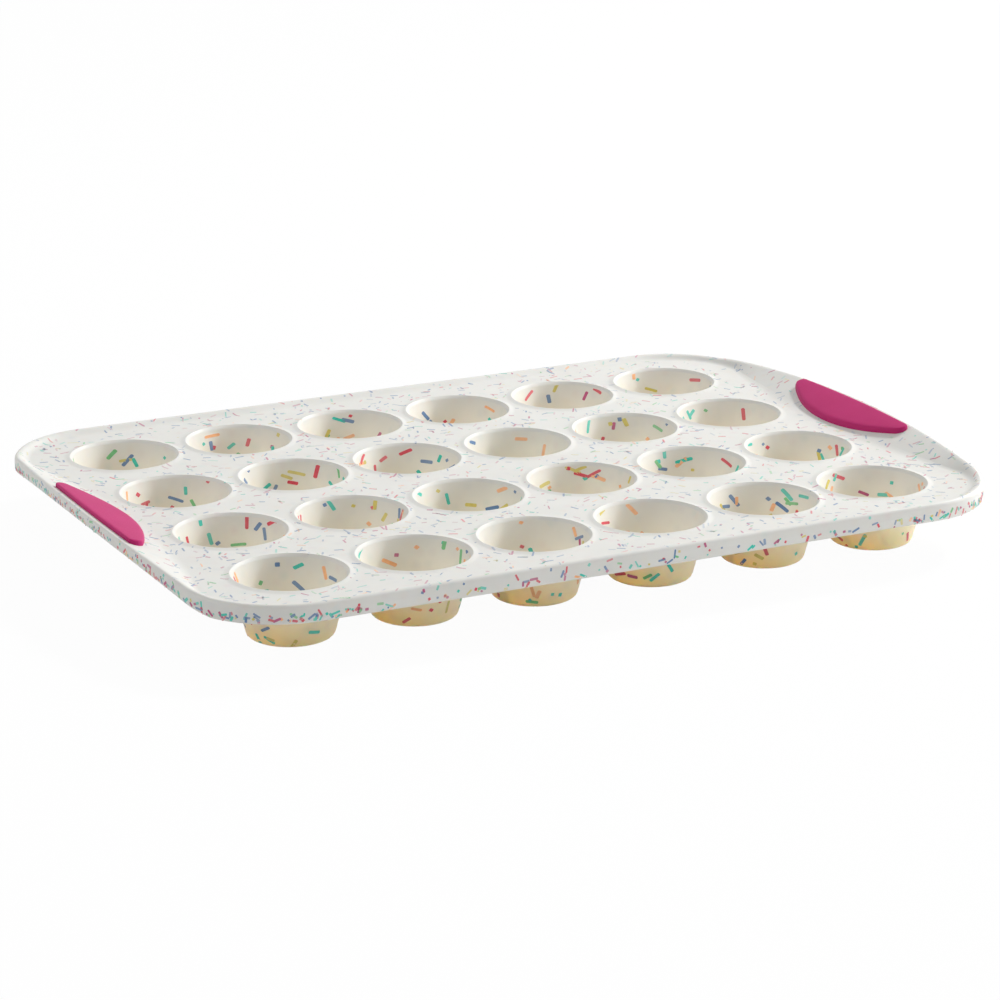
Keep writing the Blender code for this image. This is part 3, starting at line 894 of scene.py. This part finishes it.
glow = by_warmth(tree, painted_glow_and_polish, 0.1, 0.25, 1.0)
tree.links.new(glow, shader.inputs["Subsurface Weight"])
scatter = by_warmth(tree, painted_glow_and_polish, 0.0010, 0.0012, 0.0035)
tree.links.new(scatter, shader.inputs["Subsurface Scale"])
shader.inputs["Subsurface Radius"].default_value = (1.0, 0.6, 0.3)
shader.inputs["Specular IOR Level"].default_value = 0.45
shader.inputs["IOR"].default_value = 1.41
dress(pan, silicone)
print("white silicone on", pan.name)

# %% [markdown]
# A rod has its own colour, and fades towards the white around it as it lies deeper.

# %% Coloured silicone
for colour, piece in rods.items():
    finish, tree, shader = new_finish(f"sprinkle_{colour}")
    place = add(tree, "ShaderNodeTexCoord").outputs["Object"]
    depth = add(tree, "ShaderNodeAttribute", attribute_name="depth").outputs["Fac"]
    cloud = noise(tree, place, 500.0, 2.0)
    lighter = tuple(min(1.0, 1.2 * part + 0.01) for part in ROD_COLOURS[colour])
    body = ramp(tree, cloud, [(0.3, ROD_COLOURS[colour]), (0.75, lighter)])
    tree.links.new(mix(tree, depth, body, (*WHITE, 1.0)), shader.inputs["Base Color"])
    tree.links.new(between(tree, cloud, 0.42, 0.52), shader.inputs["Roughness"])
    shader.inputs["Specular IOR Level"].default_value = 0.45
    dress(piece, finish)
print("rods in", len(rods), "colours")

# %% [markdown]
# The grips are dyed through, so they are deeper in colour and less see-through, with the same
# satin grain.

# %% Magenta silicone
MAGENTA = (0.49, 0.021, 0.150)
DEEP_MAGENTA = (0.46, 0.018, 0.136)
finish, tree, shader = new_finish("magenta_silicone")
place = add(tree, "ShaderNodeTexCoord").outputs["Object"]
body = ramp(tree, noise(tree, place, 60.0, 4.0), [(0.3, DEEP_MAGENTA), (0.7, MAGENTA)])
tree.links.new(body, shader.inputs["Base Color"])
grain = noise(tree, place, 1800.0, 2.0)
tree.links.new(grain_normal(tree, grain, 0.3), shader.inputs["Normal"])
tree.links.new(between(tree, grain, 0.45, 0.6), shader.inputs["Roughness"])
shader.inputs["Subsurface Weight"].default_value = 0.25
shader.inputs["Subsurface Radius"].default_value = (1.0, 0.25, 0.4)
shader.inputs["Subsurface Scale"].default_value = 0.0012
shader.inputs["Specular IOR Level"].default_value = 0.15
for piece in grips.values():
    dress(piece, finish)
print("magenta silicone on", len(grips), "grips")

# %% [markdown]
# Drawn wire has fine lines along its length. The noise is stretched along the rim's long sides,
# and the brushed look comes from uneven roughness.

# %% Steel
finish, tree, shader = new_finish("drawn_steel")
place = add(tree, "ShaderNodeTexCoord").outputs["Object"]
stretched = add(tree, "ShaderNodeMapping", {"Vector": place, "Scale": (60.0, 900.0, 2400.0)})
lines = noise(tree, stretched.outputs["Vector"], 1.0, 4.0)
body = ramp(tree, lines, [(0.3, (0.46, 0.46, 0.47)), (0.7, (0.62, 0.62, 0.63))])
tree.links.new(body, shader.inputs["Base Color"])
tree.links.new(between(tree, lines, 0.24, 0.44), shader.inputs["Roughness"])
shader.inputs["Metallic"].default_value = 1.0
dress(wire, finish)
print("steel on", wire.name)

# %% [markdown]
# ## Floor and light
# The pan stands on a white floor. The camera and reflections see it as plain white with a trace
# of its shade, which keeps the pan's shadow. All other rays see an ordinary floor, so that it
# throws no more light on the pan than a white floor would.


# %% Floor
def seen_directly(tree):
    """1 for the rays of the camera, of a reflection and of a way through glass, 0 for others."""
    rays = add(tree, "ShaderNodeLightPath")
    seen = add(tree, "ShaderNodeMath", {0: rays.outputs["Is Camera Ray"],
                                        1: rays.outputs["Is Glossy Ray"]}, operation="MAXIMUM")
    return add(tree, "ShaderNodeMath", {0: seen.outputs[0],
                                        1: rays.outputs["Is Transmission Ray"]},
               operation="MAXIMUM").outputs[0]


FLOOR_HALF = 6.0
FLOOR_LEVEL = -0.2 * MM
WHITE_SHARE = 0.965
floor_corners = np.array([(-1, -1), (1, -1), (1, 1), (-1, 1)]) * FLOOR_HALF
floor_mesh = bpy.data.meshes.new("floor")
floor_mesh.from_pydata([(x, y, FLOOR_LEVEL) for x, y in floor_corners], [], [(0, 1, 2, 3)])
floor = bpy.data.objects.new("floor", floor_mesh)
bpy.context.scene.collection.objects.link(floor)
finish, tree, shader = new_finish("white_floor")
shader.inputs["Base Color"].default_value = (0.90, 0.90, 0.90, 1.0)
shader.inputs["Roughness"].default_value = 0.9
shader.inputs["Specular IOR Level"].default_value = 0.1
part_seen = add(tree, "ShaderNodeMath", {0: seen_directly(tree), 1: WHITE_SHARE},
                operation="MULTIPLY")
white = add(tree, "ShaderNodeEmission", {"Color": (1.0, 1.0, 1.0, 1.0), "Strength": 1.0})
blend = add(tree, "ShaderNodeMixShader", {0: part_seen.outputs[0], 1: shader.outputs[0],
                                          2: white.outputs[0]})
tree.links.new(blend.outputs[0], tree.nodes["Material Output"].inputs["Surface"])
dress(floor, finish)

# %% [markdown]
# The room round the floor is white for the camera and for reflections in the same way, and gives
# a soft even light to everything else.

# %% World
SOFT_STRENGTH = 0.365
world = bpy.data.worlds.new("studio")
bpy.context.scene.world = world
world.use_nodes = True
tree = world.node_tree
soft = add(tree, "ShaderNodeBackground", {"Color": (0.98, 0.99, 1.0, 1.0),
                                          "Strength": SOFT_STRENGTH})
white = add(tree, "ShaderNodeBackground", {"Color": (1.0, 1.0, 1.0, 1.0), "Strength": 1.0})
blend = add(tree, "ShaderNodeMixShader", {0: seen_directly(tree), 1: soft.outputs[0],
                                          2: white.outputs[0]})
tree.links.new(blend.outputs[0], tree.nodes["World Output"].inputs["Surface"])
print("floor at", FLOOR_LEVEL / MM, "mm, world", world.name)

# %% [markdown]
# The key light comes from the right and a little behind, and a weaker one fills from the left. A
# broad low lamp at the right front is reflected in the cups as their pale crescents, and a faint
# one overhead lightens the deck.


# %% Lamps
def aim(item, place, target):
    """Put a lamp or camera at a place, with its -Z axis towards the target."""
    item.location = place
    item.rotation_euler = (Vector(target) - Vector(place)).to_track_quat("-Z", "Y").to_euler()


def lamp(name, watts, width, height, turn, rise, distance):
    """A lamp aimed at the pan, with its size and distance in metres.

    Its turn runs from the right towards the back, and its rise up from the floor, in degrees.
    """
    light = bpy.data.lights.new(name, "AREA")
    light.energy = watts
    light.shape = "RECTANGLE"
    light.size = width
    light.size_y = height
    item = bpy.data.objects.new(name, light)
    bpy.context.scene.collection.objects.link(item)
    turn, rise = math.radians(turn), math.radians(rise)
    place = Vector((math.cos(turn) * math.cos(rise), math.sin(turn) * math.cos(rise), math.sin(rise)))
    aim(item, place * distance, (0.0, 0.0, 0.0))


# Name, watts, width, height, turn, rise and distance
lamp("key", 41.0, 0.25, 0.25, 14.0, 38.0, 2.4)
lamp("right front", 9.5, 1.0, 0.5, -25.0, 14.0, 1.5)
lamp("left", 6.8, 1.0, 1.0, 170.0, 35.0, 1.9)
lamp("overhead", 2.0, 1.4, 1.4, 90.0, 86.0, 1.5)
bpy.context.scene.cycles.diffuse_bounces = 10
bpy.context.scene.cycles.max_bounces = 16

# %% [markdown]
# ## Camera
# The photograph was taken from the front left, a little above the pan, with a long lens. The
# camera's place was worked out from the 24 mouths in it, whose places on the pan are known.

# %% Camera
AZIMUTH = math.radians(-26.88)
ELEVATION = math.radians(17.32)
ROLL = math.radians(0.06)
DISTANCE = 1.382
TARGET = Vector((-0.0177, -0.0407, 0.0246))
SENSOR_WIDTH = 36.0
FOCAL_LENGTH = 124.7
back = Vector((math.sin(AZIMUTH) * math.cos(ELEVATION), -math.cos(AZIMUTH) * math.cos(ELEVATION),
               math.sin(ELEVATION)))
camera = bpy.data.objects.new("camera", bpy.data.cameras.new("camera"))
camera.data.sensor_width = SENSOR_WIDTH
camera.data.lens = FOCAL_LENGTH
bpy.context.scene.collection.objects.link(camera)
aim(camera, TARGET + back * DISTANCE, TARGET)
camera.rotation_euler.rotate_axis("Z", ROLL)
bpy.context.scene.camera = camera
bpy.context.scene.view_settings.view_transform = "Standard"
print("camera at", [round(value, 4) for value in camera.location])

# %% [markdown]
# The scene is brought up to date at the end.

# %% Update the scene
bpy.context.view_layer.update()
